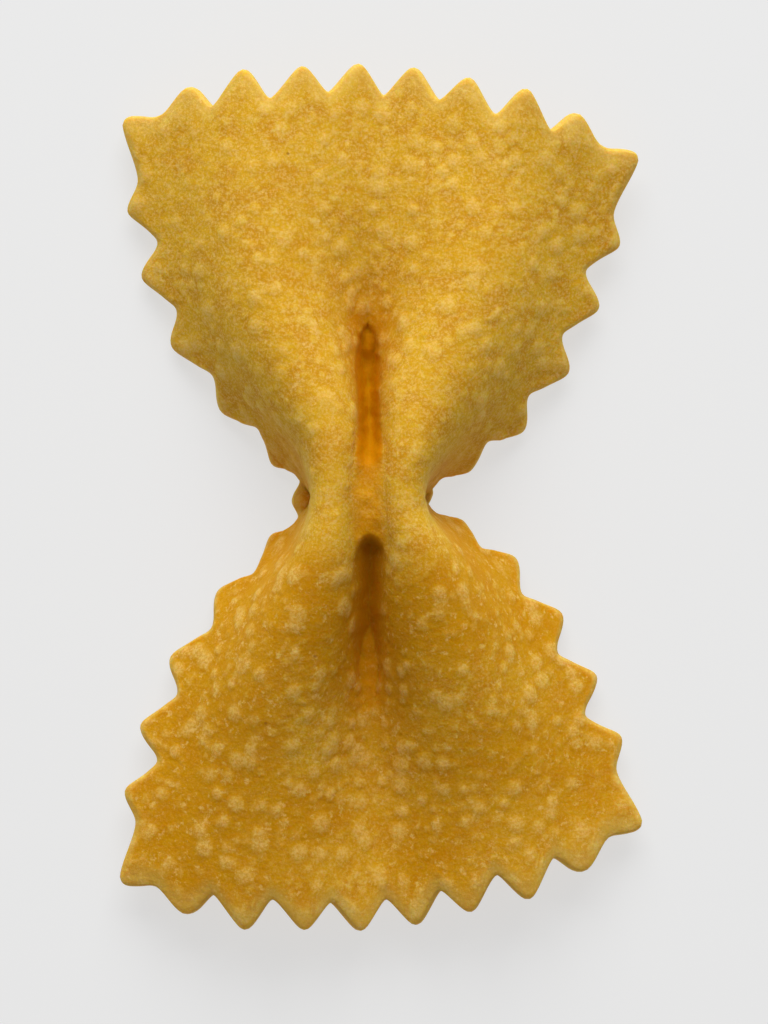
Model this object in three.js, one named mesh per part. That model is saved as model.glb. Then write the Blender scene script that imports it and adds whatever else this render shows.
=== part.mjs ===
// One dried farfalle: a dough sheet with zigzag edges on all four sides,
// folded lengthwise into an M and pinched together at the waist.
// Millimetres. X runs across the bow, Y along it, Z up. The origin is the
// bottom centre of its box.
import * as THREE from "three";

// The flat sheet, before it is folded.
const SHEET_HALF_WIDTH = 14.23;
const SHEET_HALF_LENGTH = 24;
const THICKNESS = 1.2;
const EDGE_THICKNESS = 0.9;
const EDGE_THINNING = 0.9;
// The ends and the sides bow out towards the corners, and one long side lies a
// little further along the bow than the other.
const END_BOW = 0.34;
const SIDE_BOW = 0.89;
const SHEET_SKEW = 0.21;

// The zigzag: teeth along the ends and along the sides. Beside the waist the
// teeth lean towards it. The tooth at the waist is low and round, and the left
// edge reaches further out there than the right one.
const END_TOOTH_HEIGHT = 0.84;
const SIDE_TOOTH_HEIGHT = 0.81;
const WAIST_TOOTH_HEIGHT = 0.4;
const WAIST_TOOTH_REACH = 3;
const WAIST_LEFT_REACH = 0.65;
const WAIST_RIGHT_REACH = -0.05;
const UPPER_TOOTH_PITCH = 3.32;
const LOWER_TOOTH_PITCH = 3.38;
const WAIST_TOOTH_LENGTH = 4.32;
const SIDE_TOOTH_PITCH = 3.66;
const END_TOOTH_SHARPNESS = 0.85;
const SIDE_TOOTH_SHARPNESS = 0.75;
const WAIST_TOOTH_SHARPNESS = 0.45;
const TOOTH_LEAN = 0.93;
const TOOTH_LEAN_LENGTH = 6;
const TOOTH_FADE = 3.2;
const END_INTERVALS = 9;
const SIDE_INTERVALS = 12;
// The four corners are longer, rounded wedges. The notch beside each one lies at
// this share of the way from the last tip to the corner.
const END_CORNER_NOTCH_AT = 0.31;
const END_CORNER_NOTCH = 0;
const END_CORNER_REACH = 0.14;
const SIDE_CORNER_NOTCH_AT = 0.4;
const SIDE_CORNER_NOTCH = -0.08;
const SIDE_CORNER_REACH = 0.58;
const CORNER_RADIUS = 0.5;

// How open each leg of the M is: its width over its length, so 1 lies flat.
const OPEN_AT_END = 0.975;
const INNER_OPEN_AT_WAIST = 0.297;
const OUTER_OPEN_AT_WAIST = 0.163;
const UPPER_OPENING_LENGTH = 10;
const LOWER_OPENING_LENGTH = 11;
const UPPER_OPENING_POWER = 2.3;
const LOWER_OPENING_POWER = 1.7;
const UPPER_OUTER_LENGTH = 11.43;
const LOWER_OUTER_LENGTH = 10.8;
const UPPER_OUTER_POWER = 1.34;
const LOWER_OUTER_POWER = 1.75;

// The folds: where the ridge lies in the sheet and how sharply the sheet bends.
const RIDGE_AT_WAIST = 6.9;
const RIDGE_AT_WINGS = 6.5;
const RIDGE_BEND = 3.2;
const UPPER_VALLEY_BEND = 2.4;
const LOWER_VALLEY_BEND = 1.6;
const SOFT_BEND = 0.7;
const RIDGE_BEND_LENGTH = 4.5;
const VALLEY_BEND_LENGTH = 10;
// Away from the waist the inner legs are steepest nearer the valley: their
// shape is drawn over their length to this power.
const LEG_SKEW = 0.7;
const LEG_SKEW_LENGTH = 4;
const EDGE_FLARE_AT_WAIST = Math.PI;
const EDGE_FLARE_AT_WINGS = 0.82 * Math.PI;

// How the folded sheet stands, how the pinch draws its sides in along the bow,
// and how its two wings lean and wave.
const REST_AT_WAIST = 0.6;
const REST_AT_ENDS = 1.8;
const REST_BLEND = 0.5;
const SIDE_DRAW = 1.5;
const SIDE_DRAW_LENGTH = 5.8;
const UPPER_TURN = 0.086;
const LOWER_TURN = 0.091;
const TURN_LENGTH = 3.1;
const WING_SHIFT = -1.08;
const WING_SHIFT_LENGTH = 7.9;
const TWIST_HEIGHT = 0.3;
const WAVE_HEIGHT = 0.12;
const WAVE_LENGTH = 13;

// The web of dough pressed shut between the two ridges: a channel that ends in
// an arch over the lower valley and in a step towards the upper one. A ramp of
// pressed dough leads down from each end.
const WEB_BELOW_RIDGE = 1.4;
const WEB_RISE = 0.3;
const WEB_HALF_WIDTH = 0.7;
const WEB_TOP_Y = 1.8;
const WEB_BOTTOM_Y = -2.1;
const WEB_ARCH = 0.8;
const WEB_EDGE = 0.7;
const MOUTH_STEP = 2.1;
const MOUTH_SLOPE = 0.55;
const GROOVE_STEP = 1.4;
const GROOVE_SLOPE = 0.58;
const WEB_BLEND = 0.45;

// The mesh: steps between neighbouring tips, and the tables behind it.
const END_STEPS = 6;
const SIDE_STEPS = 4;
const BEND_CROWDING = 0.5;
const LEG_STEPS = 60;
const STATIONS = 240;
const FIBRES = 96;
const TABLE_MARGIN = 1.8;

const clamp = (value, low, high) => Math.min(high, Math.max(low, value));

// An S-shaped rise from 0 to 1 while x runs from 0 to 1.
function smoothRise(x) {
  const u = clamp(x, 0, 1);
  return u * u * (3 - 2 * u);
}

// A value that runs from its waist size to its wing size as a bell falls off.
function nearWaist(atWaist, atWings, y, length) {
  return atWings + (atWaist - atWings) * Math.exp(-((y / length) ** 2));
}

// How open a leg stands at a station: it nears OPEN_AT_END away from the waist.
function opening(station, atWaist, length, power) {
  const shut = Math.exp(-((Math.abs(station) / length) ** power));
  return OPEN_AT_END + (atWaist - OPEN_AT_END) * shut;
}

// A value for the upper wing and another for the lower one.
const byWing = (station, upper, lower) => (station > 0 ? upper : lower);

// The share of its full tilt that a leg has, from fold to fold (0 to 1 along it).
function legShape(share, sweep, bend) {
  return Math.tanh(bend * Math.sin(sweep * share)) / Math.tanh(bend);
}

// Finds the tilt at which a leg covers the wanted width for its length.
function tiltFor(openness, shape) {
  let low = 0;
  let high = 2.2;
  for (let turn = 0; turn < 26; turn++) {
    const tilt = (low + high) / 2;
    let width = 0;
    for (let i = 0; i < LEG_STEPS; i++) {
      width += Math.cos(tilt * shape[i]) + Math.cos(tilt * shape[i + 1]);
    }
    if (width / (2 * LEG_STEPS) > openness) low = tilt;
    else high = tilt;
  }
  return (low + high) / 2;
}

// Half of the M at one station: arc length, x and height from the valley.
function foldedHalf(station) {
  const ridge = nearWaist(
    RIDGE_AT_WAIST,
    RIDGE_AT_WINGS,
    station,
    RIDGE_BEND_LENGTH,
  );
  const ridgeBend = nearWaist(
    RIDGE_BEND,
    SOFT_BEND,
    station,
    RIDGE_BEND_LENGTH,
  );
  const valleyFade = Math.exp(-((station / VALLEY_BEND_LENGTH) ** 4));
  const valleyBend =
    SOFT_BEND +
    (byWing(station, UPPER_VALLEY_BEND, LOWER_VALLEY_BEND) - SOFT_BEND) *
      valleyFade;
  const flare = nearWaist(
    EDGE_FLARE_AT_WAIST,
    EDGE_FLARE_AT_WINGS,
    station,
    RIDGE_BEND_LENGTH,
  );
  const legs = [
    {
      length: ridge,
      sweep: Math.PI,
      skew: nearWaist(1, LEG_SKEW, station, LEG_SKEW_LENGTH),
      bendFrom: valleyBend,
      sign: 1,
      openness: opening(
        station,
        INNER_OPEN_AT_WAIST,
        byWing(station, UPPER_OPENING_LENGTH, LOWER_OPENING_LENGTH),
        byWing(station, UPPER_OPENING_POWER, LOWER_OPENING_POWER),
      ),
    },
    {
      length: SHEET_HALF_WIDTH - ridge,
      sweep: flare,
      skew: 1,
      bendFrom: ridgeBend,
      sign: -1,
      openness: opening(
        station,
        OUTER_OPEN_AT_WAIST,
        byWing(station, UPPER_OUTER_LENGTH, LOWER_OUTER_LENGTH),
        byWing(station, UPPER_OUTER_POWER, LOWER_OUTER_POWER),
      ),
    },
  ];
  const points = [{ arc: 0, x: 0, z: 0 }];
  for (const leg of legs) {
    const shape = [];
    for (let i = 0; i <= LEG_STEPS; i++) {
      const share = i / LEG_STEPS;
      const bend = leg.bendFrom + (ridgeBend - leg.bendFrom) * share;
      shape.push(legShape(share ** leg.skew, leg.sweep, bend));
    }
    const tilt = leg.sign * tiltFor(leg.openness, shape);
    const step = leg.length / LEG_STEPS;
    for (let i = 0; i < LEG_STEPS; i++) {
      const last = points[points.length - 1];
      const from = tilt * shape[i];
      const to = tilt * shape[i + 1];
      points.push({
        arc: last.arc + step,
        x: last.x + (step * (Math.cos(from) + Math.cos(to))) / 2,
        z: last.z + (step * (Math.sin(from) + Math.sin(to))) / 2,
      });
    }
    leg.endTilt = tilt * shape[LEG_STEPS];
  }
  const edge = points[points.length - 1];
  points.push({
    arc: edge.arc + TABLE_MARGIN,
    x: edge.x + TABLE_MARGIN * Math.cos(legs[1].endTilt),
    z: edge.z + TABLE_MARGIN * Math.sin(legs[1].endTilt),
  });
  return { points, edge, ridge };
}

// The height at which a station's valley stands, so that its lowest line rests.
function valleyHeight(station, edgeHeight) {
  const share = station / SHEET_HALF_LENGTH;
  const rest = REST_AT_WAIST + (REST_AT_ENDS - REST_AT_WAIST) * share * share;
  return rest - (edgeHeight - Math.hypot(edgeHeight, REST_BLEND)) / 2;
}

// The folded sheet as a table of stations along it and fibres across one half.
function foldedTable() {
  const reach = SHEET_HALF_LENGTH + TABLE_MARGIN;
  const width = SHEET_HALF_WIDTH + TABLE_MARGIN;
  const stationStep = (2 * reach) / STATIONS;
  const fibreStep = width / FIBRES;
  const rows = [];
  for (let i = 0; i <= STATIONS; i++) {
    const station = -reach + i * stationStep;
    const { points, edge, ridge } = foldedHalf(station);
    const valley = valleyHeight(station, edge.z);
    const row = { ridge, x: [], y: [], z: [] };
    let k = 0;
    for (let j = 0; j <= FIBRES; j++) {
      const arc = j * fibreStep;
      while (k < points.length - 2 && points[k + 1].arc < arc) k++;
      const share =
        (arc - points[k].arc) / (points[k + 1].arc - points[k].arc);
      row.x.push(points[k].x + share * (points[k + 1].x - points[k].x));
      row.z.push(
        valley + points[k].z + share * (points[k + 1].z - points[k].z),
      );
    }
    rows.push(row);
  }
  // The dough does not stretch: what a fibre gains sideways or in height
  // between two stations it loses along the bow.
  for (let i = 0; i <= STATIONS; i++) {
    for (let j = 0; j <= FIBRES; j++) {
      if (i === 0) {
        rows[i].y.push(0);
        continue;
      }
      const side = rows[i].x[j] - rows[i - 1].x[j];
      const lift = rows[i].z[j] - rows[i - 1].z[j];
      const left = stationStep ** 2 - side ** 2 - lift ** 2;
      const along = Math.sqrt(Math.max(0.05 * stationStep ** 2, left));
      rows[i].y.push(rows[i - 1].y[j] + along);
    }
  }
  const waist = rows[STATIONS / 2].y.slice();
  for (const row of rows) row.y = row.y.map((y, j) => y - waist[j]);
  return { rows, reach, stationStep, fibreStep };
}

const table = foldedTable();

// Where a point of the flat sheet (s across, t along) lies once folded.
function sheetPoint(s, t) {
  const u = clamp((t + table.reach) / table.stationStep, 0, STATIONS - 1e-6);
  const v = clamp(Math.abs(s) / table.fibreStep, 0, FIBRES - 1e-6);
  const i = Math.floor(u);
  const j = Math.floor(v);
  const look = (axis) => {
    const below = table.rows[i][axis];
    const above = table.rows[i + 1][axis];
    const low = below[j] + (v - j) * (below[j + 1] - below[j]);
    const high = above[j] + (v - j) * (above[j + 1] - above[j]);
    return low + (u - i) * (high - low);
  };
  const across = s / SHEET_HALF_WIDTH;
  const along = t / SHEET_HALF_LENGTH;
  const pull = t / SIDE_DRAW_LENGTH;
  const draw = SIDE_DRAW * pull * Math.exp((1 - pull ** 2) / 2) * across ** 2;
  const y = look("y") - draw;
  const shift = WING_SHIFT * (1 - Math.exp(-((y / WING_SHIFT_LENGTH) ** 2)));
  const x = Math.sign(s) * look("x") + shift;
  const turn =
    UPPER_TURN * smoothRise(y / TURN_LENGTH) -
    LOWER_TURN * smoothRise(-y / TURN_LENGTH);
  const twist = TWIST_HEIGHT * across * along;
  const wave =
    WAVE_HEIGHT *
    Math.sin((2 * Math.PI * t) / WAVE_LENGTH + 2 * across) *
    along ** 2;
  return new THREE.Vector3(
    x * Math.cos(turn) + y * Math.sin(turn),
    y * Math.cos(turn) - x * Math.sin(turn),
    look("z") + twist + wave,
  );
}

// The sheet's upward normal, from two short steps along it.
function sheetNormal(s, t) {
  const step = 0.05;
  const across = sheetPoint(s + step, t).sub(sheetPoint(s - step, t));
  const along = sheetPoint(s, t + step).sub(sheetPoint(s, t - step));
  return across.cross(along).normalize();
}

// A zigzag with rounded tips: 1 at whole numbers, -1 halfway between them.
function zigzag(phase, sharpness) {
  const swing = sharpness * Math.cos(2 * Math.PI * phase);
  return Math.asin(swing) / Math.asin(sharpness);
}

// How far past the last tip a place lies on its way to the corner: at the pace
// of the teeth at first, and then faster or slower, so that it ends there.
function pastLast(share, pitch, rest) {
  return pitch * share + (rest - pitch) * share * share;
}

// Places along a side: the waist tooth is 0 and the corners are -6 and 6.
function sidePlace(phase) {
  const count = Math.abs(phase);
  const last = SIDE_INTERVALS / 2 - 1;
  const lastTip = WAIST_TOOTH_LENGTH + (last - 1) * SIDE_TOOTH_PITCH;
  const rest = SHEET_HALF_LENGTH - lastTip;
  let place = WAIST_TOOTH_LENGTH * count;
  if (count > 1) place = WAIST_TOOTH_LENGTH + (count - 1) * SIDE_TOOTH_PITCH;
  if (count > last) {
    place = lastTip + pastLast(count - last, SIDE_TOOTH_PITCH, rest);
  }
  return Math.sign(phase) * place;
}

// Places along an end: tips at -3.5 to 3.5 and the corners at -4.5 and 4.5.
function endPlace(phase, t) {
  const share = 0.5 + (0.5 * t) / SHEET_HALF_LENGTH;
  const pitch =
    LOWER_TOOTH_PITCH + (UPPER_TOOTH_PITCH - LOWER_TOOTH_PITCH) * share;
  const count = Math.abs(phase);
  const last = END_INTERVALS / 2 - 1;
  const rest = SHEET_HALF_WIDTH - pitch * last;
  let place = pitch * count;
  if (count > last) place = pitch * last + pastLast(count - last, pitch, rest);
  return Math.sign(phase) * place;
}

// How far an edge stands out from its mean line: the teeth up to the last one,
// then on to the notch beyond it and out to the corner.
function toothReach(phase, last, height, sharpness, notchAt, notch, corner) {
  const out = Math.abs(phase) - last;
  if (out <= 0) return height * zigzag(phase - last, sharpness);
  if (out < notchAt) {
    return height + (notch - height) * smoothRise(out / notchAt);
  }
  const share = (out - notchAt) / (1 - notchAt);
  return notch + (corner - notch) * smoothRise(share);
}

// The flat-sheet point of one mesh vertex, with the teeth pulled out.
function sheetPlace(sidePhase, endPhase) {
  let t = sidePlace(sidePhase);
  let s = endPlace(endPhase, t);
  const outS = smoothRise(1 - (SHEET_HALF_WIDTH - Math.abs(s)) / TOOTH_FADE);
  const outT = smoothRise(1 - (SHEET_HALF_LENGTH - Math.abs(t)) / TOOTH_FADE);
  const endTooth = toothReach(
    endPhase,
    END_INTERVALS / 2 - 1,
    END_TOOTH_HEIGHT,
    END_TOOTH_SHARPNESS,
    END_CORNER_NOTCH_AT,
    END_CORNER_NOTCH,
    END_CORNER_REACH,
  );
  const sideTooth = toothReach(
    sidePhase,
    SIDE_INTERVALS / 2 - 1,
    nearWaist(WAIST_TOOTH_HEIGHT, SIDE_TOOTH_HEIGHT, t, WAIST_TOOTH_REACH),
    nearWaist(
      WAIST_TOOTH_SHARPNESS,
      SIDE_TOOTH_SHARPNESS,
      t,
      WAIST_TOOTH_REACH,
    ),
    SIDE_CORNER_NOTCH_AT,
    SIDE_CORNER_NOTCH,
    SIDE_CORNER_REACH,
  );
  const besideWaist =
    nearWaist(TOOTH_LEAN, 0, t, TOOTH_LEAN_LENGTH) *
    smoothRise(Math.abs(sidePhase));
  const lean = besideWaist * outS * zigzag(sidePhase, SIDE_TOOTH_SHARPNESS);
  t -= Math.sign(t) * lean;
  const along = Math.abs(t) / SHEET_HALF_LENGTH;
  const waistReach = s > 0 ? WAIST_RIGHT_REACH : WAIST_LEFT_REACH;
  const atWaist = nearWaist(waistReach, 0, t, WAIST_TOOTH_REACH);
  const pullS = outS * (sideTooth + atWaist + SIDE_BOW * along ** 3);
  const pullT =
    outT * endTooth + END_BOW * (s / SHEET_HALF_WIDTH) ** 2 * along ** 2;
  // Near the waist the columns crowd towards the three bends.
  if (Math.abs(s) < 1.5 * RIDGE_AT_WAIST) {
    const crowding = nearWaist(BEND_CROWDING, 0, t, VALLEY_BEND_LENGTH);
    const angle = (2 * Math.PI * s) / RIDGE_AT_WAIST;
    s -= (crowding * Math.sin(angle) * RIDGE_AT_WAIST) / (2 * Math.PI);
  }
  // The square at each corner is drawn in to a quarter disc.
  const reachS = Math.abs(s) + pullS;
  const reachT = Math.abs(t) + pullT;
  const fromS = SHEET_HALF_WIDTH + pullS - CORNER_RADIUS;
  const fromT = SHEET_HALF_LENGTH + pullT - CORNER_RADIUS;
  const u = clamp((reachS - fromS) / CORNER_RADIUS, 0, 1);
  const v = clamp((reachT - fromT) / CORNER_RADIUS, 0, 1);
  const inS = CORNER_RADIUS * u * (1 - Math.sqrt(1 - (v * v) / 2));
  const inT = CORNER_RADIUS * v * (1 - Math.sqrt(1 - (u * u) / 2));
  const placedS = Math.sign(s) * (reachS - inS);
  const skew = (SHEET_SKEW * placedS) / SHEET_HALF_WIDTH;
  return { s: placedS, t: Math.sign(t) * (reachT - inT) + skew };
}

// The height to which the gap between the ridges is filled with pressed dough,
// at a distance x from the middle of the gap.
function webHeight(x, y, ridgeTop) {
  const side = Math.min(1, (x / WEB_HALF_WIDTH) ** 2);
  const level = ridgeTop - WEB_BELOW_RIDGE + WEB_RISE * side;
  const above = y - WEB_TOP_Y;
  const below = WEB_BOTTOM_Y - WEB_ARCH * side - y;
  const upperRamp =
    GROOVE_STEP * smoothRise(above / WEB_EDGE) +
    GROOVE_SLOPE * Math.max(0, above - WEB_EDGE);
  const lowerRamp =
    MOUTH_STEP * smoothRise(below / WEB_EDGE) +
    MOUTH_SLOPE * Math.max(0, below - WEB_EDGE);
  return level - upperRamp - lowerRamp;
}

// The larger of two heights, rounded where they meet.
function roundedMax(a, b) {
  return (a + b + Math.hypot(a - b, WEB_BLEND)) / 2;
}

const columns = END_INTERVALS * END_STEPS;
const rowCount = SIDE_INTERVALS * SIDE_STEPS;
const waistRidgeTop =
  sheetPoint(RIDGE_AT_WAIST, 0).z + THICKNESS / 2;
const top = [];
const bottom = [];
for (let i = 0; i <= rowCount; i++) {
  const sidePhase = i / SIDE_STEPS - SIDE_INTERVALS / 2;
  for (let j = 0; j <= columns; j++) {
    const endPhase = j / END_STEPS - END_INTERVALS / 2;
    const { s, t } = sheetPlace(sidePhase, endPhase);
    const middle = sheetPoint(s, t);
    const normal = sheetNormal(s, t);
    const toEdge = Math.min(rowCount - i, i, columns - j, j);
    const thin = Math.exp(-toEdge / EDGE_THINNING);
    const half = (THICKNESS + (EDGE_THICKNESS - THICKNESS) * thin) / 2;
    const upper = middle.clone().addScaledVector(normal, half);
    const lower = middle.clone().addScaledVector(normal, -half);
    if (Math.abs(s) < RIDGE_AT_WAIST) {
      const x = upper.x - sheetPoint(0, t).x;
      upper.z = roundedMax(upper.z, webHeight(x, middle.y, waistRidgeTop));
    }
    top.push(upper);
    bottom.push(lower);
  }
}

// Moves the box's bottom centre to the origin.
const box = new THREE.Box3().setFromPoints([...top, ...bottom]);
const centre = box.getCenter(new THREE.Vector3()).setZ(box.min.z);
const vertices = [...top, ...bottom].map((point) => point.sub(centre));

const at = (i, j) => i * (columns + 1) + j;
const under = top.length;
const faces = [];
for (let i = 0; i < rowCount; i++) {
  for (let j = 0; j < columns; j++) {
    const corners = [at(i, j), at(i, j + 1), at(i + 1, j + 1), at(i + 1, j)];
    const [a, b, c, d] = corners;
    faces.push(a, b, c, a, c, d);
    faces.push(a + under, c + under, b + under);
    faces.push(a + under, d + under, c + under);
  }
}

// The rim walks once round the edge, counterclockwise as seen from above.
const loop = [];
for (let j = 0; j < columns; j++) loop.push(at(0, j));
for (let i = 0; i < rowCount; i++) loop.push(at(i, columns));
for (let j = columns; j > 0; j--) loop.push(at(rowCount, j));
for (let i = rowCount; i > 0; i--) loop.push(at(i, 0));
loop.forEach((here, k) => {
  const next = loop[(k + 1) % loop.length];
  faces.push(here, here + under, next + under);
  faces.push(here, next + under, next);
});

const geometry = new THREE.BufferGeometry().setFromPoints(vertices);
geometry.setIndex(faces);
geometry.computeVertexNormals();

const dough = new THREE.MeshStandardMaterial({
  color: 0xd29c34,
  roughness: 0.75,
});
const farfalle = new THREE.Mesh(geometry, dough);
farfalle.name = "farfalle";

const group = new THREE.Group();
group.name = "farfalle_piece";
group.add(farfalle);

export default group;
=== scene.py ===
import bpy
import numpy as np
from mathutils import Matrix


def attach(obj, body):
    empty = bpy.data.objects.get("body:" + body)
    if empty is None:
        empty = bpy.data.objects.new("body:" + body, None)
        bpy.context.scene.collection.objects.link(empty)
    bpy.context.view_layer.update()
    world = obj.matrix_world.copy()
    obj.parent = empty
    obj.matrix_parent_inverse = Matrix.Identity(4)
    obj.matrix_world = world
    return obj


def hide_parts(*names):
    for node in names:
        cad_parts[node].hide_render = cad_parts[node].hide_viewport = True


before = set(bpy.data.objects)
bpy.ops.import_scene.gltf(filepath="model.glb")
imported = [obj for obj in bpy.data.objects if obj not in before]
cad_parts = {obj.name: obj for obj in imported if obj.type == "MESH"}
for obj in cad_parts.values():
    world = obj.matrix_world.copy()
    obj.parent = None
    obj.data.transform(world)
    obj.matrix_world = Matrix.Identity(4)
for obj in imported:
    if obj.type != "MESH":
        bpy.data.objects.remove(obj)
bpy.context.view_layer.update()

# ---------------------------------------------------------------------------
# The farfalle: a thin sheet of dried semolina dough, cut in a zigzag on all four
# sides, folded lengthwise into an M and pinched at the waist. It is one closed
# mesh: a grid for the sheet's upper face, one for its lower face, and a rim.
# ---------------------------------------------------------------------------

# The flat sheet, in millimetres. Its ends and sides bow out towards the corners,
# and one long side lies a little further along the bow than the other.
SHEET_HALF_WIDTH = 14.23
SHEET_HALF_LENGTH = 24.0
THICKNESS = 1.2
EDGE_THICKNESS = 0.85
EDGE_THINNING = 0.35
END_BOW = 0.34
SIDE_BOW = 0.89
SHEET_SKEW = 0.21

# The zigzag. A phase counts the teeth: along a side 0 is the tooth at the waist,
# and along an end 0 is the notch in the middle. One past the last tip is the
# corner, a longer wedge with a notch at that share of the way out to it.
LAST_SIDE_TIP = 5
LAST_END_TIP = 3.5
SIDE_TOOTH_PITCH = 3.66
SIDE_TOOTH_HEIGHT = 0.81
SIDE_TOOTH_SHARPNESS = 0.75
SIDE_CORNER_NOTCH_AT = 0.4
SIDE_CORNER_NOTCH = -0.08
SIDE_CORNER_REACH = 0.58
UPPER_TOOTH_PITCH = 3.32
LOWER_TOOTH_PITCH = 3.38
END_TOOTH_HEIGHT = 0.84
END_TOOTH_SHARPNESS = 0.85
END_CORNER_NOTCH_AT = 0.31
END_CORNER_NOTCH = 0.0
END_CORNER_REACH = 0.14
CORNER_RADIUS = 0.5
TOOTH_FADE = 3.2

# At the waist the tooth is low and round, the left edge reaches further out than
# the right one, and the teeth on either side lean towards it.
WAIST_TOOTH_LENGTH = 4.32
WAIST_TOOTH_HEIGHT = 0.4
WAIST_TOOTH_SHARPNESS = 0.45
WAIST_TOOTH_REACH = 3.0
WAIST_LEFT_REACH = 0.65
WAIST_RIGHT_REACH = -0.05
TOOTH_LEAN = 0.93
TOOTH_LEAN_LENGTH = 6.0

# How open each leg of the M is: its width over its length, so 1 lies flat.
OPEN_AT_END = 0.975
INNER_OPEN_AT_WAIST = 0.297
OUTER_OPEN_AT_WAIST = 0.163
UPPER_OPENING_LENGTH = 10.0
LOWER_OPENING_LENGTH = 11.0
UPPER_OPENING_POWER = 2.3
LOWER_OPENING_POWER = 1.7
UPPER_OUTER_LENGTH = 11.43
LOWER_OUTER_LENGTH = 10.8
UPPER_OUTER_POWER = 1.34
LOWER_OUTER_POWER = 1.75

# Where the ridges lie in the sheet, and how sharply it bends there, in the valley
# and out to its edges, whose tilt is a half turn of a sine at the waist.
RIDGE_AT_WAIST = 6.9
RIDGE_AT_WINGS = 6.5
RIDGE_BEND = 3.2
UPPER_VALLEY_BEND = 2.4
LOWER_VALLEY_BEND = 1.6
SOFT_BEND = 0.7
RIDGE_BEND_LENGTH = 4.5
VALLEY_BEND_LENGTH = 10.0
LEG_SKEW = 0.7
LEG_SKEW_LENGTH = 4.0
EDGE_FLARE_AT_WAIST = np.pi
EDGE_FLARE_AT_WINGS = 0.82 * np.pi
STEEPEST_TILT = 2.2

# How the folded sheet rests, and how its wings turn, shift, twist and wave.
REST_AT_WAIST = 0.6
REST_AT_ENDS = 1.8
REST_BLEND = 0.5
SIDE_DRAW = 1.5
SIDE_DRAW_LENGTH = 5.8
UPPER_TURN = 0.086
LOWER_TURN = 0.091
TURN_LENGTH = 3.1
WING_SHIFT = -1.08
WING_SHIFT_LENGTH = 7.9
TWIST_HEIGHT = 0.3
WAVE_HEIGHT = 0.12
WAVE_LENGTH = 13.0

# The mesh's rows and columns, and the table of folded places that it is read from,
# which goes on past the flat sheet by a margin for the teeth.
ROWS = 264
COLUMNS = 180
TABLE_ROWS = 701
TABLE_COLUMNS = 161
TABLE_MARGIN = 1.8
LEG_STEPS = 80


def smooth_rise(x):
    """3x^2 - 2x^3, held at 0 below 0 and at 1 above 1."""
    x = np.clip(x, 0, 1)
    return x * x * (3 - 2 * x)


def near_waist(at_waist, at_wings, y, length):
    """The wing value plus the difference to the waist value times exp(-(y / length)^2)."""
    return at_wings + (at_waist - at_wings) * np.exp(-((y / length) ** 2))


def by_wing(y, upper, lower):
    """The upper wing's value where y is above 0, and the lower wing's elsewhere."""
    return np.where(y > 0, upper, lower)


def opening(t, at_waist, length, power):
    """OPEN_AT_END plus the difference to the waist value times exp(-(|t| / length)^power)."""
    return OPEN_AT_END + (at_waist - OPEN_AT_END) * np.exp(-((np.abs(t) / length) ** power))


def running_sum(values, step):
    """The trapezium integral of each row from its first column on."""
    sums = np.cumsum((values[:, :-1] + values[:, 1:]) / 2, axis=1) * step
    return np.concatenate([np.zeros((len(values), 1)), sums], axis=1)


def tilt_for(openness, shape):
    """The tilt A at which the mean of cos(A shape) equals the openness, by halving."""
    low = np.zeros_like(openness)
    high = np.full_like(openness, STEEPEST_TILT)
    for _ in range(30):
        tilt = (low + high) / 2
        width = running_sum(np.cos(tilt * shape), 1 / LEG_STEPS)[:, -1:]
        low, high = np.where(width > openness, tilt, low), np.where(width > openness, high, tilt)
    return (low + high) / 2


def leg_tilts(t, share):
    """The tilts of the inner and the outer leg at shares of their widths, at stations t.

    Each is A tanh(b sin(pi share)) / tanh(b). A gives the leg its openness, and
    the larger b is, the more of the bend lies at the leg's ends. The inner leg
    rises to the ridge and the outer leg falls from it.
    """
    ridge_bend = near_waist(RIDGE_BEND, SOFT_BEND, t, RIDGE_BEND_LENGTH)
    at_waist = by_wing(t, UPPER_VALLEY_BEND, LOWER_VALLEY_BEND)
    valley_bend = SOFT_BEND + (at_waist - SOFT_BEND) * np.exp(-((t / VALLEY_BEND_LENGTH) ** 4))
    bend = valley_bend + (ridge_bend - valley_bend) * share
    skew = near_waist(1, LEG_SKEW, t, LEG_SKEW_LENGTH)
    inner = np.tanh(bend * np.sin(np.pi * share**skew)) / np.tanh(bend)
    length = by_wing(t, UPPER_OPENING_LENGTH, LOWER_OPENING_LENGTH)
    power = by_wing(t, UPPER_OPENING_POWER, LOWER_OPENING_POWER)
    inner = inner * tilt_for(opening(t, INNER_OPEN_AT_WAIST, length, power), inner)
    flare = near_waist(EDGE_FLARE_AT_WAIST, EDGE_FLARE_AT_WINGS, t, RIDGE_BEND_LENGTH)
    outer = np.tanh(ridge_bend * np.sin(flare * share)) / np.tanh(ridge_bend)
    length = by_wing(t, UPPER_OUTER_LENGTH, LOWER_OUTER_LENGTH)
    power = by_wing(t, UPPER_OUTER_POWER, LOWER_OUTER_POWER)
    outer = -outer * tilt_for(opening(t, OUTER_OPEN_AT_WAIST, length, power), outer)
    return inner, outer


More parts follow.
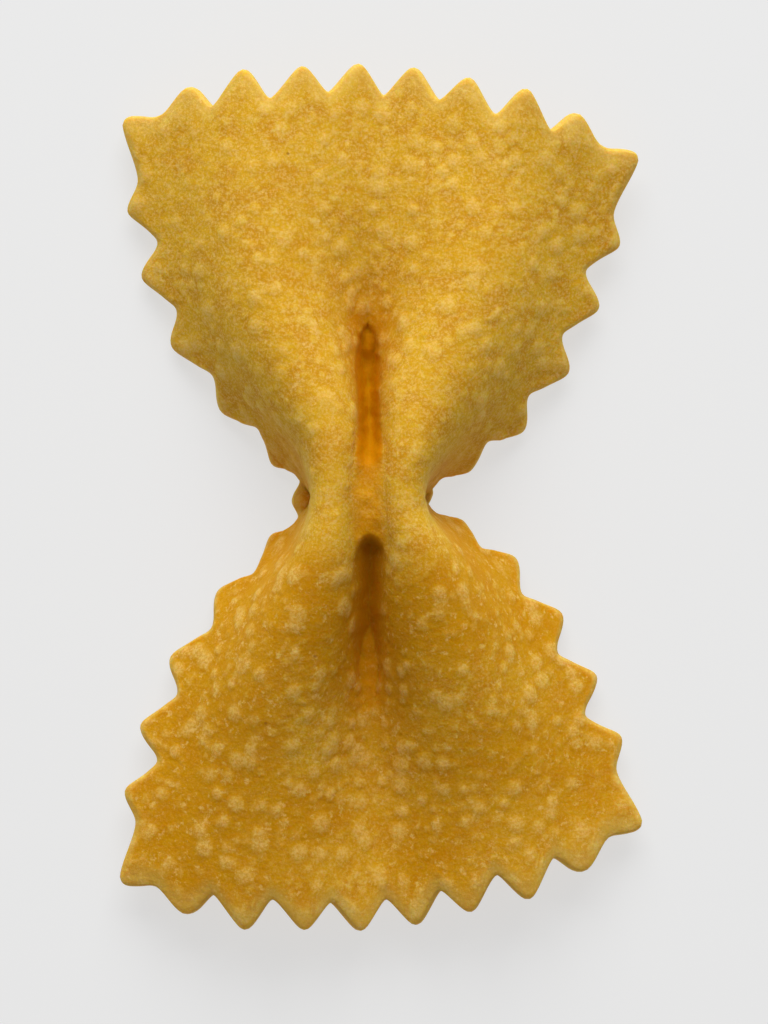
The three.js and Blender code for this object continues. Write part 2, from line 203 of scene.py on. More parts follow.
def cross_sections(t):
    """Arc length, x and z along half of the folded sheet's cross-section, at stations t.

    x and z are the integrals of the tilt's cosine and sine over both legs and
    straight on over a margin for the teeth. The valley lies at the rest height,
    or higher by as much as the outer edge would otherwise lie below that.
    """
    ridge = near_waist(RIDGE_AT_WAIST, RIDGE_AT_WINGS, t, RIDGE_BEND_LENGTH)
    outer_width = SHEET_HALF_WIDTH - ridge
    share = np.linspace(0, 1, LEG_STEPS + 1)[None, :]
    inner, outer = leg_tilts(t, share)
    x_in = running_sum(np.cos(inner), ridge / LEG_STEPS)
    z_in = running_sum(np.sin(inner), ridge / LEG_STEPS)
    x_out = x_in[:, -1:] + running_sum(np.cos(outer), outer_width / LEG_STEPS)
    z_out = z_in[:, -1:] + running_sum(np.sin(outer), outer_width / LEG_STEPS)
    x_past = x_out[:, -1:] + TABLE_MARGIN * np.cos(outer[:, -1:])
    z_past = z_out[:, -1:] + TABLE_MARGIN * np.sin(outer[:, -1:])
    edge = z_out[:, -1:]
    rest = REST_AT_WAIST + (REST_AT_ENDS - REST_AT_WAIST) * (t / SHEET_HALF_LENGTH) ** 2
    valley = rest - (edge - np.hypot(edge, REST_BLEND)) / 2
    margin = np.full_like(t, SHEET_HALF_WIDTH + TABLE_MARGIN)
    arc = np.concatenate([share * ridge, ridge + share[:, 1:] * outer_width, margin], axis=1)
    x = np.concatenate([x_in, x_out[:, 1:], x_past], axis=1)
    z = np.concatenate([z_in, z_out[:, 1:], z_past], axis=1) + valley
    return arc, x, z


def fold_table():
    """Stations t, even arc lengths s, and the folded sheet's x, y and z at each pair.

    y is the integral of sqrt(1 - x_t^2 - z_t^2) along t, with at least 0.05 under
    the root, so that the dough keeps its length along the bow.
    """
    reach = SHEET_HALF_LENGTH + TABLE_MARGIN
    t = np.linspace(-reach, reach, TABLE_ROWS)
    s = np.linspace(0, SHEET_HALF_WIDTH + TABLE_MARGIN, TABLE_COLUMNS)
    arc, x, z = cross_sections(t[:, None])
    x = np.stack([np.interp(s, a, row) for a, row in zip(arc, x)])
    z = np.stack([np.interp(s, a, row) for a, row in zip(arc, z)])
    step = t[1] - t[0]
    x_t = np.gradient(x, step, axis=0)
    z_t = np.gradient(z, step, axis=0)
    y = running_sum(np.sqrt(np.maximum(0.05, 1 - x_t**2 - z_t**2)).T, step).T
    return t, s, x, y - y[TABLE_ROWS // 2], z


table_t, table_s, table_x, table_y, table_z = fold_table()


def read_table(values, t, s):
    """The table's value at (t, s), held inside the table, straight between its four neighbours."""
    u = np.clip((t - table_t[0]) / (table_t[1] - table_t[0]), 0, TABLE_ROWS - 1.001)
    v = np.clip(s / (table_s[1] - table_s[0]), 0, TABLE_COLUMNS - 1.001)
    i = u.astype(int)
    j = v.astype(int)
    low = values[i, j] + (v - j) * (values[i, j + 1] - values[i, j])
    high = values[i + 1, j] + (v - j) * (values[i + 1, j + 1] - values[i + 1, j])
    return low + (u - i) * (high - low)


def zigzag(phase, sharpness):
    """asin(k cos(2 pi phase)) / asin(k): a zigzag with rounded tips at whole phases."""
    return np.arcsin(sharpness * np.cos(2 * np.pi * phase)) / np.arcsin(sharpness)


def tooth_reach(phase, last, height, sharpness, notch_at, notch, corner):
    """The zigzag up to the last tip, then smoothly on to a notch and out to the corner."""
    out = np.abs(phase) - last
    teeth = height * zigzag(phase - last, sharpness)
    to_notch = height + (notch - height) * smooth_rise(out / notch_at)
    to_corner = notch + (corner - notch) * smooth_rise((out - notch_at) / (1 - notch_at))
    return np.where(out <= 0, teeth, np.where(out < notch_at, to_notch, to_corner))


def past_last(share, pitch, rest):
    """The way on from the last tip: pitch x + (rest - pitch) x^2, so it starts at the teeth's pace."""
    x = np.clip(share, 0, 1)
    return pitch * x + (rest - pitch) * x**2


def side_place(phase):
    """How far along a side a phase lies, from the tooth at the waist."""
    count = np.abs(phase)
    last_tip = WAIST_TOOTH_LENGTH + (LAST_SIDE_TIP - 1) * SIDE_TOOTH_PITCH
    even = np.where(count < 1, WAIST_TOOTH_LENGTH * count,
                    WAIST_TOOTH_LENGTH + SIDE_TOOTH_PITCH * (count - 1))
    past = last_tip + past_last(count - LAST_SIDE_TIP, SIDE_TOOTH_PITCH, SHEET_HALF_LENGTH - last_tip)
    return np.sign(phase) * np.where(count > LAST_SIDE_TIP, past, even)


def end_place(phase, t):
    """How far along an end a phase lies, from its middle. The pitch changes evenly along t."""
    share = 0.5 + 0.5 * t / SHEET_HALF_LENGTH
    pitch = LOWER_TOOTH_PITCH + (UPPER_TOOTH_PITCH - LOWER_TOOTH_PITCH) * share
    count = np.abs(phase)
    last_tip = LAST_END_TIP * pitch
    past = last_tip + past_last(count - LAST_END_TIP, pitch, SHEET_HALF_WIDTH - last_tip)
    return np.sign(phase) * np.where(count > LAST_END_TIP, past, pitch * count)


def sheet_places(side_phase, end_phase):
    """The flat sheet's (s, t) for two phases, with the teeth pulled out near its edges.

    Beside the waist the teeth lean towards it. The square at each corner becomes
    a quarter disc, and one long edge lies a little further on than the other.
    """
    t = side_place(side_phase)
    s = end_place(end_phase, t)
    end_tooth = tooth_reach(end_phase, LAST_END_TIP, END_TOOTH_HEIGHT, END_TOOTH_SHARPNESS,
                            END_CORNER_NOTCH_AT, END_CORNER_NOTCH, END_CORNER_REACH)
    height = near_waist(WAIST_TOOTH_HEIGHT, SIDE_TOOTH_HEIGHT, t, WAIST_TOOTH_REACH)
    sharpness = near_waist(WAIST_TOOTH_SHARPNESS, SIDE_TOOTH_SHARPNESS, t, WAIST_TOOTH_REACH)
    side_tooth = tooth_reach(side_phase, LAST_SIDE_TIP, height, sharpness,
                             SIDE_CORNER_NOTCH_AT, SIDE_CORNER_NOTCH, SIDE_CORNER_REACH)
    out_s = smooth_rise(1 - (SHEET_HALF_WIDTH - np.abs(s)) / TOOTH_FADE)
    lean = near_waist(TOOTH_LEAN, 0, t, TOOTH_LEAN_LENGTH) * smooth_rise(np.abs(side_phase)) * out_s
    t = t - np.sign(t) * lean * zigzag(side_phase, SIDE_TOOTH_SHARPNESS)
    out_t = smooth_rise(1 - (SHEET_HALF_LENGTH - np.abs(t)) / TOOTH_FADE)
    along = np.abs(t) / SHEET_HALF_LENGTH
    waist_reach = np.where(s > 0, WAIST_RIGHT_REACH, WAIST_LEFT_REACH)
    side_tooth = side_tooth + near_waist(waist_reach, 0, t, WAIST_TOOTH_REACH)
    pull_s = out_s * (side_tooth + SIDE_BOW * along**3)
    pull_t = out_t * end_tooth + END_BOW * (s / SHEET_HALF_WIDTH) ** 2 * along**2
    reach_s = np.abs(s) + pull_s
    reach_t = np.abs(t) + pull_t
    u = np.clip((reach_s - SHEET_HALF_WIDTH - pull_s) / CORNER_RADIUS + 1, 0, 1)
    v = np.clip((reach_t - SHEET_HALF_LENGTH - pull_t) / CORNER_RADIUS + 1, 0, 1)
    reach_s = reach_s - CORNER_RADIUS * u * (1 - np.sqrt(1 - v * v / 2))
    reach_t = reach_t - CORNER_RADIUS * v * (1 - np.sqrt(1 - u * u / 2))
    s = np.sign(s) * reach_s
    return s, np.sign(t) * reach_t + SHEET_SKEW * s / SHEET_HALF_WIDTH


def folded_places(s, t):
    """Where sheet points lie once folded.

    The table gives the M. Then the edges are drawn towards the waist, the wings
    shift and turn, and a twist and a low wave are added to the height.
    """
    x = np.sign(s) * read_table(table_x, t, np.abs(s))
    y = read_table(table_y, t, np.abs(s))
    z = read_table(table_z, t, np.abs(s))
    across = s / SHEET_HALF_WIDTH
    along = t / SHEET_HALF_LENGTH
    pull = t / SIDE_DRAW_LENGTH
    y = y - SIDE_DRAW * pull * np.exp((1 - pull**2) / 2) * across**2
    x = x + WING_SHIFT * (1 - np.exp(-((y / WING_SHIFT_LENGTH) ** 2)))
    turn = UPPER_TURN * smooth_rise(y / TURN_LENGTH) - LOWER_TURN * smooth_rise(-y / TURN_LENGTH)
    z = z + TWIST_HEIGHT * across * along
    z = z + WAVE_HEIGHT * np.sin(2 * np.pi * t / WAVE_LENGTH + 2 * across) * along**2
    turned_x = x * np.cos(turn) + y * np.sin(turn)
    turned_y = y * np.cos(turn) - x * np.sin(turn)
    return np.stack([turned_x, turned_y, z], axis=-1)


side_corner = LAST_SIDE_TIP + 1
end_corner = LAST_END_TIP + 1
side_phases = np.linspace(-side_corner, side_corner, ROWS + 1)[:, None] * np.ones((1, COLUMNS + 1))
end_phases = np.linspace(-end_corner, end_corner, COLUMNS + 1)[None, :] * np.ones((ROWS + 1, 1))
sheet_s, sheet_t = sheet_places(side_phases, end_phases)
middle = folded_places(sheet_s, sheet_t)
normal = np.cross(np.gradient(middle, axis=1), np.gradient(middle, axis=0))
normal /= np.linalg.norm(normal, axis=-1, keepdims=True)

to_side = SHEET_HALF_WIDTH * (1 - np.abs(end_phases) / end_corner)
to_end = SHEET_HALF_LENGTH * (1 - np.abs(side_phases) / side_corner)
to_edge = np.minimum(to_side, to_end)
half = (THICKNESS + (EDGE_THICKNESS - THICKNESS) * np.exp(-((to_edge / EDGE_THINNING) ** 2))) / 2

# The relief: blisters that steam left as the dough dried, more of them towards the
# edges and in the lower wing, nearly flat where the pinch pressed them. Crumbs of
# dough stand up beside the pinch, and the whole face is a little uneven.
BIG_BLISTER_HEIGHT = 0.095
SMALL_BLISTER_HEIGHT = 0.05
CRUMB_HEIGHT = 0.12
UNEVEN_HEIGHT = 0.03
FINE_HEIGHT = 0.016
RELIEF_SINK = 0.05
RELIEF_FADE = 0.5
EDGE_ZONE = 4.5
LOW_WING_BLEND = 16.0
PRESSED_ALONG = 2.6
PRESSED_ACROSS = 9.0
CRUMBS_ALONG = 6.0
CRUMBS_ACROSS = 8.5

near_edge = np.exp(-to_edge / EDGE_ZONE)
low_wing = smooth_rise(0.5 - sheet_t / LOW_WING_BLEND)
pressed = np.exp(-((sheet_t / PRESSED_ALONG) ** 2)) * smooth_rise((PRESSED_ACROSS - np.abs(sheet_s)) / 3)
near_pinch = np.exp(-((sheet_t / CRUMBS_ALONG) ** 4)) * smooth_rise((CRUMBS_ACROSS - np.abs(sheet_s)) / 2)


def cell_noise(cell, seed):
    """A number from 0 to 1 for each lattice cell (i, j, k) and seed, from a whole-number hash."""
    i, j, k = np.moveaxis(cell.astype(np.int64), -1, 0)
    h = (i * 374761393 + j * 668265263 + k * 2147483647 + seed * 974634777) & 0xFFFFFFFF
    h = ((h ^ (h >> 13)) * 1274126177) & 0xFFFFFFFF
    h = ((h ^ (h >> 16)) * 2246822519) & 0xFFFFFFFF
    return ((h ^ (h >> 15)) & 0xFFFFFF) / float(0x1000000)


def soft_noise(place, size, seed):
    """Cell noise blended smoothly between the corners of cubes of that size, from -1 to 1."""
    cell = np.floor(place / size)
    f = smooth_rise(place / size - cell)
    total = np.zeros(place.shape[:-1])
    for corner in np.ndindex(2, 2, 2):
        weight = np.prod(np.where(corner, f, 1 - f), axis=-1)
        total = total + weight * cell_noise(cell + corner, seed)
    return 2 * total - 1


def blisters(place, spacing, smallest, largest, share, seed):
    """Domes 1 - (d / r)^2 round one jittered centre in each cube of that spacing.

    The radius r lies between smallest and largest, and more often near the
    smallest. Only a share of the cubes holds a dome.
    """
    dome = np.zeros(place.shape[:-1])
    home = np.floor(place / spacing)
    for step in np.ndindex(3, 3, 3):
        cell = home + np.array(step) - 1
        jitter = np.stack([cell_noise(cell, seed + axis) for axis in range(3)], axis=-1)
        centre_here = (cell + 0.1 + 0.8 * jitter) * spacing
        radius = smallest + (largest - smallest) * cell_noise(cell, seed + 3) ** 1.5
        here = cell_noise(cell, seed + 4) < share
        lobe = 1 - np.sum((place - centre_here) ** 2, axis=-1) / radius**2
        dome = np.maximum(dome, np.where(here, lobe, 0))
    return dome


def face_relief(place, seed):
    """(height, dome) of one face: the highest of blisters and crumbs, plus soft noise.

    More cubes hold a blister near the edge and in patches, and the big ones also
    in the lower wing.
    """
    patch = soft_noise(place, 4.5, seed + 50)
    big_share = np.clip(0.45 + 0.35 * near_edge + 0.15 * low_wing + 0.2 * patch, 0, 1)
    small_share = np.clip(0.7 + 0.2 * near_edge + 0.15 * patch, 0, 1)
    crumb_share = 0.5 * near_pinch
    big = blisters(place, spacing=1.15, smallest=0.42, largest=0.72, share=big_share, seed=seed)
    small = blisters(place, spacing=0.7, smallest=0.22, largest=0.4, share=small_share, seed=seed + 10)
    crumbs = blisters(place, spacing=0.8, smallest=0.16, largest=0.32, share=crumb_share, seed=seed + 20)
    big = big * (1 - 0.7 * pressed)
    small = small * (1 - 0.5 * pressed)
    dome = np.maximum(big, 0.6 * small)
    height = np.maximum(BIG_BLISTER_HEIGHT * big**0.8, SMALL_BLISTER_HEIGHT * small)
    height = np.maximum(height, CRUMB_HEIGHT * crumbs)
    height = height + UNEVEN_HEIGHT * soft_noise(place, 1.7, seed + 60)
    height = height + FINE_HEIGHT * soft_noise(place, 0.55, seed + 70)
    return height, dome


def blistered_face(side, seed):
    """(face, dome) for the upper side, 1, or the lower side, -1, with the relief pushed outwards."""
    face = middle + side * normal * half[..., None]
    height, dome = face_relief(face, seed)
    raised = (height - RELIEF_SINK) * smooth_rise(to_edge / RELIEF_FADE)
    return face + side * normal * raised[..., None], dome


top, top_dome = blistered_face(1, 11)
under, under_dome = blistered_face(-1, 211)

# The web: between the ridges the inner legs are pressed into one mass, smooth on
# top. It ends in an arched mouth over the lower valley, and towards the upper wing
# it deepens into a rough groove.
WEB_EDGE_BELOW_RIDGE = 0.65
WEB_DEPTH = 0.65
WEB_TOP_Y = 1.7
WEB_BOTTOM_Y = -2.15
WEB_ARCH = 1.25
WEB_POWER = 2.0
WEB_ROUGHNESS = 0.09
MOUTH_DEPTH = 1.5
MOUTH_SLOPE = 0.48
MOUTH_STEP_LENGTH = 0.5
MOUTH_POWER_LOSS = 0.4
GROOVE_DEPTH = 1.4
GROOVE_SLOPE = 0.58
GROOVE_STEP_LENGTH = 2.6
GROOVE_POWER_LOSS = 0.3
GROOVE_ROUGHNESS = 0.11
RAMP_Y = 2.3
RAMP_SOFTNESS = 1.2

ridge_top = folded_places(np.array([RIDGE_AT_WAIST]), np.array([0.0]))[0, 2] + THICKNESS / 2


def web_height(across, y):
    """A channel's height: its edges less (1 - |across|^power) times its depth.

    The edges run level over the pinch and then bend down to a slope, and the
    depth grows by an arched step at each end. The power is lower where the
    channel is deep, which makes its sides straighter.
    """
    past = np.abs(y) - RAMP_Y
    drop = (past + np.hypot(past, RAMP_SOFTNESS)) / 2
    edge_height = ridge_top - WEB_EDGE_BELOW_RIDGE - by_wing(y, GROOVE_SLOPE, MOUTH_SLOPE) * drop
    arch = WEB_ARCH * across**2
    mouth = smooth_rise((WEB_BOTTOM_Y - arch - y) / MOUTH_STEP_LENGTH)
    groove = smooth_rise((y - WEB_TOP_Y - arch) / GROOVE_STEP_LENGTH)
    depth = WEB_DEPTH + MOUTH_DEPTH * mouth + GROOVE_DEPTH * groove
    power = WEB_POWER - GROOVE_POWER_LOSS * groove - MOUTH_POWER_LOSS * mouth
    return edge_height - depth * (1 - np.abs(across) ** power)


def crossing(low, high, height):
    """The point at that height on the straight line from each low point to its high one."""
    rise = np.maximum(high[:, 2] - low[:, 2], 1e-6)
    share = np.clip((height - low[:, 2]) / rise, 0, 1)
    return low + (high - low) * share[:, None]


def fill_gap(face):
    """The face with its gap filled, and a share: 1 in the fill's middle, 0 at its sides and beyond.

    In each row the points between the places where the legs pass the web's edge
    height are spread evenly from one place to the other, at the web's height.
    """
    edge_height = web_height(1.0, face[:, COLUMNS // 2, 1])
    gap = (np.abs(sheet_s) < RIDGE_AT_WAIST) & (face[..., 2] < edge_height[:, None])
    row = np.arange(ROWS + 1)
    column = np.arange(COLUMNS + 1)
    has_gap = gap.any(axis=1)
    first = np.where(has_gap, gap.argmax(axis=1), COLUMNS // 2)
    last = np.where(has_gap, COLUMNS - gap[:, ::-1].argmax(axis=1), COLUMNS // 2)
    left = crossing(face[row, first], face[row, first - 1], edge_height)[:, None, :]
    right = crossing(face[row, last], face[row, last + 1], edge_height)[:, None, :]
    share = (column - first[:, None] + 0.5) / (last - first + 1)[:, None]
    filled = left + (right - left) * share[..., None]
    across = np.clip(2 * share - 1, -1, 1)
    lowest = np.min(np.where(gap, face[..., 2], np.inf), axis=1)[:, None]
    level = np.maximum(web_height(across, filled[..., 1]), lowest)
    rough = WEB_ROUGHNESS + GROOVE_ROUGHNESS * smooth_rise((filled[..., 1] - WEB_TOP_Y) / 2)
    level = level + rough * soft_noise(filled, 0.6, 91) * (1 - across**2)
    edge_step = edge_height[:, None] - web_height(1.0, filled[..., 1])
    filled[..., 2] = level + edge_step * np.abs(across) ** 8
    inside = has_gap[:, None] & (column >= first[:, None]) & (column <= last[:, None])
    return np.where(inside[..., None], filled, face), inside * (1 - across**4)


top, smeared = fill_gap(top)

# The rim: four rows of points between the two faces, bulging slightly outwards. Its
# angles, in degrees, run from the upper face to the lower one.
RIM_ANGLES = (60, 20, -20, -60)
RIM_BULGE = 0.16
RIM_SET_BACK = 0.2

loop_i = np.concatenate([np.zeros(COLUMNS, int), np.arange(ROWS),
                         np.full(COLUMNS, ROWS), np.arange(ROWS, 0, -1)])
loop_j = np.concatenate([np.arange(COLUMNS), np.full(ROWS, COLUMNS),
                         np.arange(COLUMNS, 0, -1), np.zeros(ROWS, int)])
edge_points = middle[loop_i, loop_j]
edge_normal = normal[loop_i, loop_j]
along_edge = np.roll(edge_points, -1, axis=0) - np.roll(edge_points, 1, axis=0)
outward = np.cross(along_edge, edge_normal)
outward /= np.linalg.norm(outward, axis=-1, keepdims=True)
rim_angle = np.radians(RIM_ANGLES)[:, None, None]
rim_up = np.sin(rim_angle) * half[loop_i, loop_j][:, None]
rim_out = RIM_BULGE * (np.cos(rim_angle) - RIM_SET_BACK)
rim = edge_points + edge_normal * rim_up + outward * rim_out

points = np.concatenate([top.reshape(-1, 3), under.reshape(-1, 3), rim.reshape(-1, 3)])
centre = (points.min(axis=0) + points.max(axis=0)) / 2
centre[2] = points[:, 2].min()
points = points - centre
face_size = (ROWS + 1) * (COLUMNS + 1)
grid = np.arange(face_size).reshape(ROWS + 1, COLUMNS + 1)
quads = np.stack([grid[:-1, :-1], grid[:-1, 1:], grid[1:, 1:], grid[1:, :-1]], axis=-1)
quads = quads.reshape(-1, 4)
top_loop = grid[loop_i, loop_j]
rim_loops = 2 * face_size + np.arange(rim[..., 0].size).reshape(len(RIM_ANGLES), -1)
loops = [top_loop, *rim_loops, top_loop + face_size]
rim_quads = [np.stack([a, b, np.roll(b, -1), np.roll(a, -1)], axis=-1)
             for a, b in zip(loops[:-1], loops[1:])]
faces = np.concatenate([quads, quads[:, ::-1] + face_size, *rim_quads])


def new_piece(name, places, corners):
    """A linked mesh object with those places, in millimetres, and those faces' corners."""
    mesh = bpy.data.meshes.new(name)
    mesh.from_pydata((places / 1000).tolist(), [], corners.tolist())
    mesh.update()
    piece = bpy.data.objects.new(name, mesh)
    bpy.context.collection.objects.link(piece)
    return piece


farfalle = new_piece("farfalle_skin", points, faces)
farfalle.data.polygons.foreach_set("use_smooth", np.ones(len(faces), bool))

# The attribute "marks" holds three shares for the colours: how blistered the dough is, how much
# painted shade deepens its colour (in the valley, in the groove and on the outer legs beside the
# waist, and on the web, where it is partly the pressed dough's own deeper colour), and how near
# it is to the cut edge, where a paler glow is painted for light passing through the thin dough.
SHADE_IN_VALLEY = 0.5
DEEP_COLOUR_AND_SHADE_ON_WEB = 0.35
MORE_SHADE_IN_GROOVE = 0.45
SHADE_ON_OUTER_LEGS = 0.4
CUT_EDGE_WIDTH = 0.7
RIM_MARKS = (0.3, 0.0, 1.0)

# Painted shade: the colour deepens in the valley the further the top face lies below the ridge, in the
# groove and on the outer legs beside the waist.
below_ridge = np.max(top[..., 2], axis=1, keepdims=True) - top[..., 2]
valley = SHADE_IN_VALLEY * smooth_rise((below_ridge - 0.3) / 4) * smooth_rise((8 - np.abs(sheet_s)) / 4)
valley = valley * np.exp(-((sheet_t / 12) ** 4))
in_groove = smooth_rise(0.2 + (top[..., 1] - WEB_TOP_Y) / 1.2)
web = (DEEP_COLOUR_AND_SHADE_ON_WEB + MORE_SHADE_IN_GROOVE * in_groove) * smeared
outer_leg = smooth_rise((np.abs(sheet_s) - 8) / 3) * np.exp(-((sheet_t / 7) ** 4))
painted_fold_shade = np.maximum(np.maximum(valley, web), SHADE_ON_OUTER_LEGS * outer_leg)
# Painted light: a paler glow near the cut edge, for light passing through the thin dough.
edge = np.exp(-((to_edge / CUT_EDGE_WIDTH) ** 2))
marks = np.concatenate([
    np.stack([top_dome * (1 - smeared), painted_fold_shade, edge], axis=-1).reshape(-1, 3),
    np.stack([under_dome, np.zeros_like(edge), edge], axis=-1).reshape(-1, 3),
    np.tile(RIM_MARKS, (rim[..., 0].size, 1)),
])

# The attribute below says how pale the dough is: floury along the edges, on the ridges of the
# pinch and in a patch in the middle of the lower wing. It is most in the upper wing, partly
# flour and partly painted light, as that wing faces the lamp; less at the lower wing's edges,
# as painted shade where the light falls off; and less in the painted shade of the folds and on the web.
FLOUR_AT_LEAST = 0.1
FLOUR_AND_LIGHT_IN_UPPER_WING = 0.65
FLOUR_AT_EDGE = 0.45
SHADE_AT_LOW_EDGE = 0.3
FLOUR_IN_PATCH = 0.5
PATCH_MIDDLE = -14.0
FLOUR_ON_RIDGES = 0.75
FLOUR_UNEVENNESS = 0.3
LESS_IN_SHADED_FOLDS = 0.8
LESS_ON_WEB = 0.5

# Painted light makes the upper wing paler, and painted shade makes the lower wing's edges less pale.
floury_and_lit_wing = FLOUR_AT_LEAST + FLOUR_AND_LIGHT_IN_UPPER_WING * smooth_rise(0.5 + sheet_t / 14)
floury_edge_less_shade = (FLOUR_AT_EDGE - SHADE_AT_LOW_EDGE * low_wing) * near_edge
floury_patch = FLOUR_IN_PATCH * np.exp(-(((sheet_t - PATCH_MIDDLE) / 4) ** 2) - (sheet_s / 6) ** 2)
floury_ridges = FLOUR_ON_RIDGES * np.exp(-((sheet_t / 4) ** 2))
flour_and_light = np.clip(floury_and_lit_wing + floury_edge_less_shade, 0, 1) + floury_patch + floury_ridges
flour_and_light = flour_and_light + FLOUR_UNEVENNESS * soft_noise(top, 3.5, 95)
flour_and_light = np.clip(flour_and_light - LESS_IN_SHADED_FOLDS * painted_fold_shade - LESS_ON_WEB * smeared, 0, 1)
rim_flour_and_light = np.tile(flour_and_light[loop_i, loop_j], len(RIM_ANGLES))
flour_and_light = np.concatenate([flour_and_light.ravel(), flour_and_light.ravel(), rim_flour_and_light])


def add_attribute(name, kind, field, values):
    """Store the values in an attribute of the farfalle's points, under that name."""
    attribute = farfalle.data.attributes.new(name, kind, "POINT")
    attribute.data.foreach_set(field, values.astype(np.float32).ravel())


add_attribute("marks", "FLOAT_VECTOR", "vector", marks)
add_attribute("flour_and_light", "FLOAT", "value", flour_and_light)

# The dough: amber under soft layers of gold, honey as painted shade between the blisters, milky
# grain, painted shade in the folds and a painted glow at the thin edge. It is nearly matte, and a
# little light passes through it.
AMBER = (0.565, 0.26, 0.0)
GOLD = (0.67, 0.375, 0.008)
HONEY_SHADE = (0.54, 0.22, 0.0)
MILKY = (0.76, 0.52, 0.15)
RUSSET_SHADE = (0.62, 0.22, 0.0)
TAN_SHADE = (0.38, 0.145, 0.0)
STRAW_GLOW = (0.64, 0.50, 0.13)
BRAN = (0.30, 0.09, 0.01)
SHEEN_TINT = (1.0, 0.85, 0.45)
LIGHT_SPREAD = (1.0, 0.45, 0.08)
LIGHT_DEPTH_MM = 1.1
BUMP_HEIGHT_MM = 0.1

dough = bpy.data.materials.new("dried_dough")
dough.use_nodes = True
tree = dough.node_tree
shader = tree.nodes["Principled BSDF"]


def add_node(kind, **settings):
    """A new node of that kind with these properties set."""
    node = tree.nodes.new(kind)
    for name, value in settings.items():
        setattr(node, name, value)
    return node


def between(value, low, high, to_low=0.0, to_high=1.0):
    """The value's place between low and high, smoothly, as a number from to_low to to_high."""
    node = add_node("ShaderNodeMapRange", interpolation_type="SMOOTHSTEP")
    tree.links.new(value, node.inputs["Value"])
    node.inputs["From Min"].default_value = low
    node.inputs["From Max"].default_value = high
    node.inputs["To Min"].default_value = to_low
    node.inputs["To Max"].default_value = to_high
    return node.outputs["Result"]


def product(first, second):
    """One value times another."""
    node = add_node("ShaderNodeMath", operation="MULTIPLY")
    tree.links.new(first, node.inputs[0])
    tree.links.new(second, node.inputs[1])
    return node.outputs["Value"]


def tinted(colour, share, tint):
    """The colour mixed with a tint by a share."""
    node = add_node("ShaderNodeMix", data_type="RGBA")
    tree.links.new(share, node.inputs["Factor"])
    tree.links.new(colour, node.inputs[6])
    node.inputs[7].default_value = (*tint, 1)
    return node.outputs[2]


def noise(per_mm, detail, roughness):
    """Noise with that many swings to the millimetre, in the piece's own coordinates."""
    node = add_node("ShaderNodeTexNoise")
    node.inputs["Scale"].default_value = 1000 * per_mm
    node.inputs["Detail"].default_value = detail
    node.inputs["Roughness"].default_value = roughness
    tree.links.new(place_node.outputs["Object"], node.inputs["Vector"])
    return node.outputs["Fac"]


place_node = add_node("ShaderNodeTexCoord")
marks_node = add_node("ShaderNodeAttribute", attribute_name="marks")
split_node = add_node("ShaderNodeSeparateXYZ")
tree.links.new(marks_node.outputs["Vector"], split_node.inputs["Vector"])
dome_mark, fold_shade_mark, thin_edge_glow_mark = split_node.outputs
flour_and_light_mark = add_node("ShaderNodeAttribute", attribute_name="flour_and_light").outputs["Fac"]
amber_node = add_node("ShaderNodeRGB")
amber_node.outputs["Color"].default_value = (*AMBER, 1)
colour = amber_node.outputs["Color"]

# Gold where it is floury, and in the upper wing also as painted light. Deeper honey in soft
# patches between the blisters, as painted shade in their hollows.
colour = tinted(colour, between(flour_and_light_mark, 0.1, 0.9, 0.0, 0.9), GOLD)
honey_patches = between(noise(0.6, 2.0, 0.5), 0.4, 0.65)
off_blisters = between(dome_mark, 0.0, 0.35, 0.6, 0.0)
# Painted shade: deeper honey in the hollows between the blisters.
colour = tinted(colour, product(off_blisters, honey_patches), HONEY_SHADE)

# Milky dough: fine grain all over the floury parts, irregular flecks outside the
# folds, and the caps of the blisters.
grain = noise(6.0, 3.0, 0.7)
floury_grain = between(grain, 0.42, 0.66, 0.05, 0.6)
fleck_grain = between(grain, 0.35, 0.6, 0.2, 0.7)
cap_grain = between(grain, 0.38, 0.62, 0.2, 0.6)
flecks = between(noise(2.0, 4.0, 0.7), 0.55, 0.67)
off_folds = between(fold_shade_mark, 0.1, 0.6, 1.0, 0.2)
colour = tinted(colour, product(between(flour_and_light_mark, 0.1, 0.9, 0.25, 1.0), floury_grain), MILKY)
colour = tinted(colour, product(product(flecks, off_folds), fleck_grain), MILKY)
colour = tinted(colour, product(between(dome_mark, 0.05, 0.8), cap_grain), MILKY)

# Russet and then tan as painted shade in the folds, a straw glow at the thin edge as painted
# light passing through the dough, and a few specks of bran.
colour = tinted(colour, between(fold_shade_mark, 0.0, 0.8, 0.0, 0.8), RUSSET_SHADE)
colour = tinted(colour, between(fold_shade_mark, 0.5, 0.85, 0.0, 0.6), TAN_SHADE)
colour = tinted(colour, between(thin_edge_glow_mark, 0.1, 1.0, 0.0, 0.35), STRAW_GLOW)
colour = tinted(colour, between(noise(1.6, 0.0, 0.5), 0.88, 0.93, 0.0, 0.6), BRAN)

tree.links.new(colour, shader.inputs["Base Color"])
tree.links.new(between(grain, 0.3, 0.7, 0.52, 0.7), shader.inputs["Roughness"])
shader.inputs["IOR"].default_value = 1.35
shader.inputs["Specular IOR Level"].default_value = 0.05
shader.inputs["Specular Tint"].default_value = (*SHEEN_TINT, 1)
shader.inputs["Subsurface Weight"].default_value = 0.55
shader.inputs["Subsurface Radius"].default_value = LIGHT_SPREAD
shader.inputs["Subsurface Scale"].default_value = LIGHT_DEPTH_MM / 1000

bump = add_node("ShaderNodeBump")
bump.inputs["Strength"].default_value = 0.7
bump.inputs["Distance"].default_value = BUMP_HEIGHT_MM / 1000
tree.links.new(noise(3.2, 4.0, 0.62), bump.inputs["Height"])
tree.links.new(bump.outputs["Normal"], shader.inputs["Normal"])

farfalle.data.materials.append(dough)
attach(farfalle, "root")
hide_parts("farfalle")

# ---------------------------------------------------------------------------
# The stage: a plain pale floor that glows faintly, a soft lamp beyond the upper
# wing, and a camera with a long lens straight above. Lengths are in millimetres
# and the lamp's power is in watts.
# ---------------------------------------------------------------------------

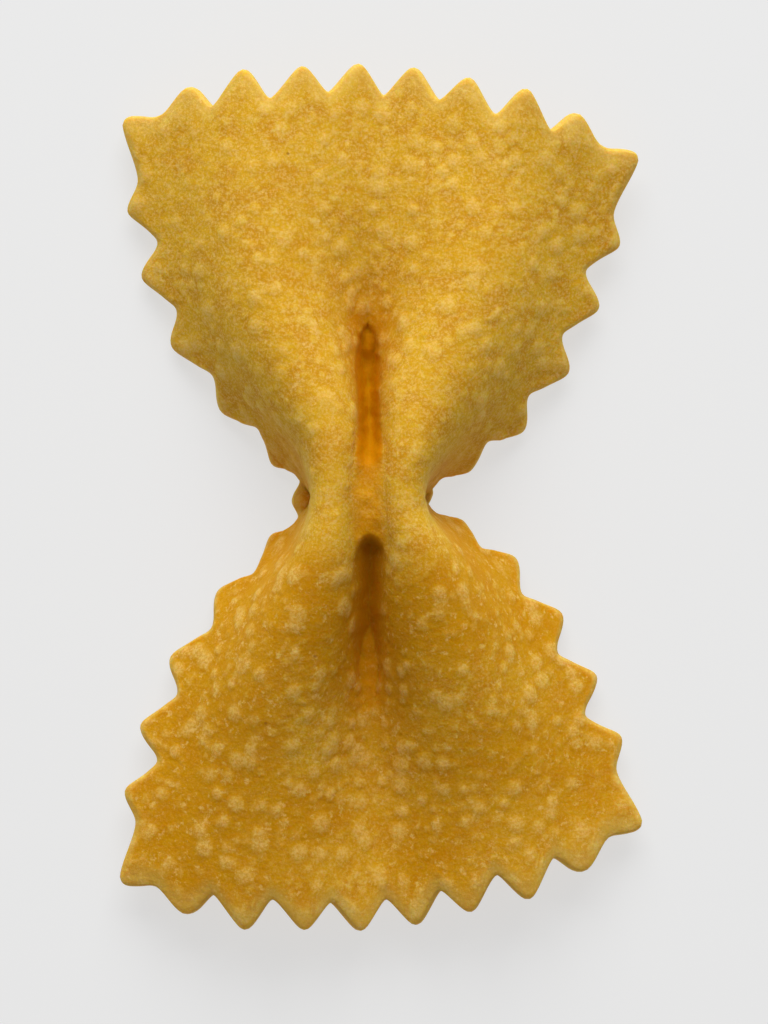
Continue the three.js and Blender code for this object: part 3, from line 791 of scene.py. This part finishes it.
FLOOR_HALF_SIZE = 600.0
FLOOR_GREY = (0.2, 0.2, 0.2)
FLOOR_GLOW = 0.62
SKY_STRENGTH = 0.28
LAMP_POWER = 3.2
LAMP_SIZE = 400.0
LAMP_Y = 400.0
LAMP_Z = 300.0
LENS = 180
CAMERA_Z = 298.0
# The point that the picture is centred on, measured from the middle of the pinch.
PICTURE_X = 0.92
PICTURE_Y = -0.86

floor_corners = FLOOR_HALF_SIZE * np.array([(-1, -1, 0), (1, -1, 0), (1, 1, 0), (-1, 1, 0)])
floor = new_piece("floor", floor_corners, np.array([(0, 1, 2, 3)]))
floor_paint = bpy.data.materials.new("floor_paint")
floor_paint.use_nodes = True
floor_shader = floor_paint.node_tree.nodes["Principled BSDF"]
floor_shader.inputs["Base Color"].default_value = (*FLOOR_GREY, 1)
floor_shader.inputs["Emission Color"].default_value = (1, 1, 1, 1)
floor_shader.inputs["Emission Strength"].default_value = FLOOR_GLOW
floor_shader.inputs["Roughness"].default_value = 0.9
floor_shader.inputs["Specular IOR Level"].default_value = 0.1
floor.data.materials.append(floor_paint)

sky = bpy.data.worlds.new("studio")
sky.use_nodes = True
sky.node_tree.nodes["Background"].inputs["Color"].default_value = (1, 1, 1, 1)
sky.node_tree.nodes["Background"].inputs["Strength"].default_value = SKY_STRENGTH
bpy.context.scene.world = sky
bpy.context.scene.view_settings.view_transform = "Standard"

lamp_data = bpy.data.lights.new("soft_lamp", "AREA")
lamp_data.energy = LAMP_POWER
lamp_data.size = LAMP_SIZE / 1000
lamp = bpy.data.objects.new("soft_lamp", lamp_data)
lamp.location = (0, LAMP_Y / 1000, LAMP_Z / 1000)
lamp.rotation_euler = (-np.arctan2(LAMP_Y, LAMP_Z), 0, 0)
bpy.context.collection.objects.link(lamp)

camera_data = bpy.data.cameras.new("camera")
camera_data.lens = LENS
camera_data.sensor_width = 36
camera_data.clip_start = 0.01
camera = bpy.data.objects.new("camera", camera_data)
camera_place = np.array([PICTURE_X - centre[0], PICTURE_Y - centre[1], CAMERA_Z])
camera.location = camera_place / 1000
bpy.context.collection.objects.link(camera)
bpy.context.scene.camera = camera
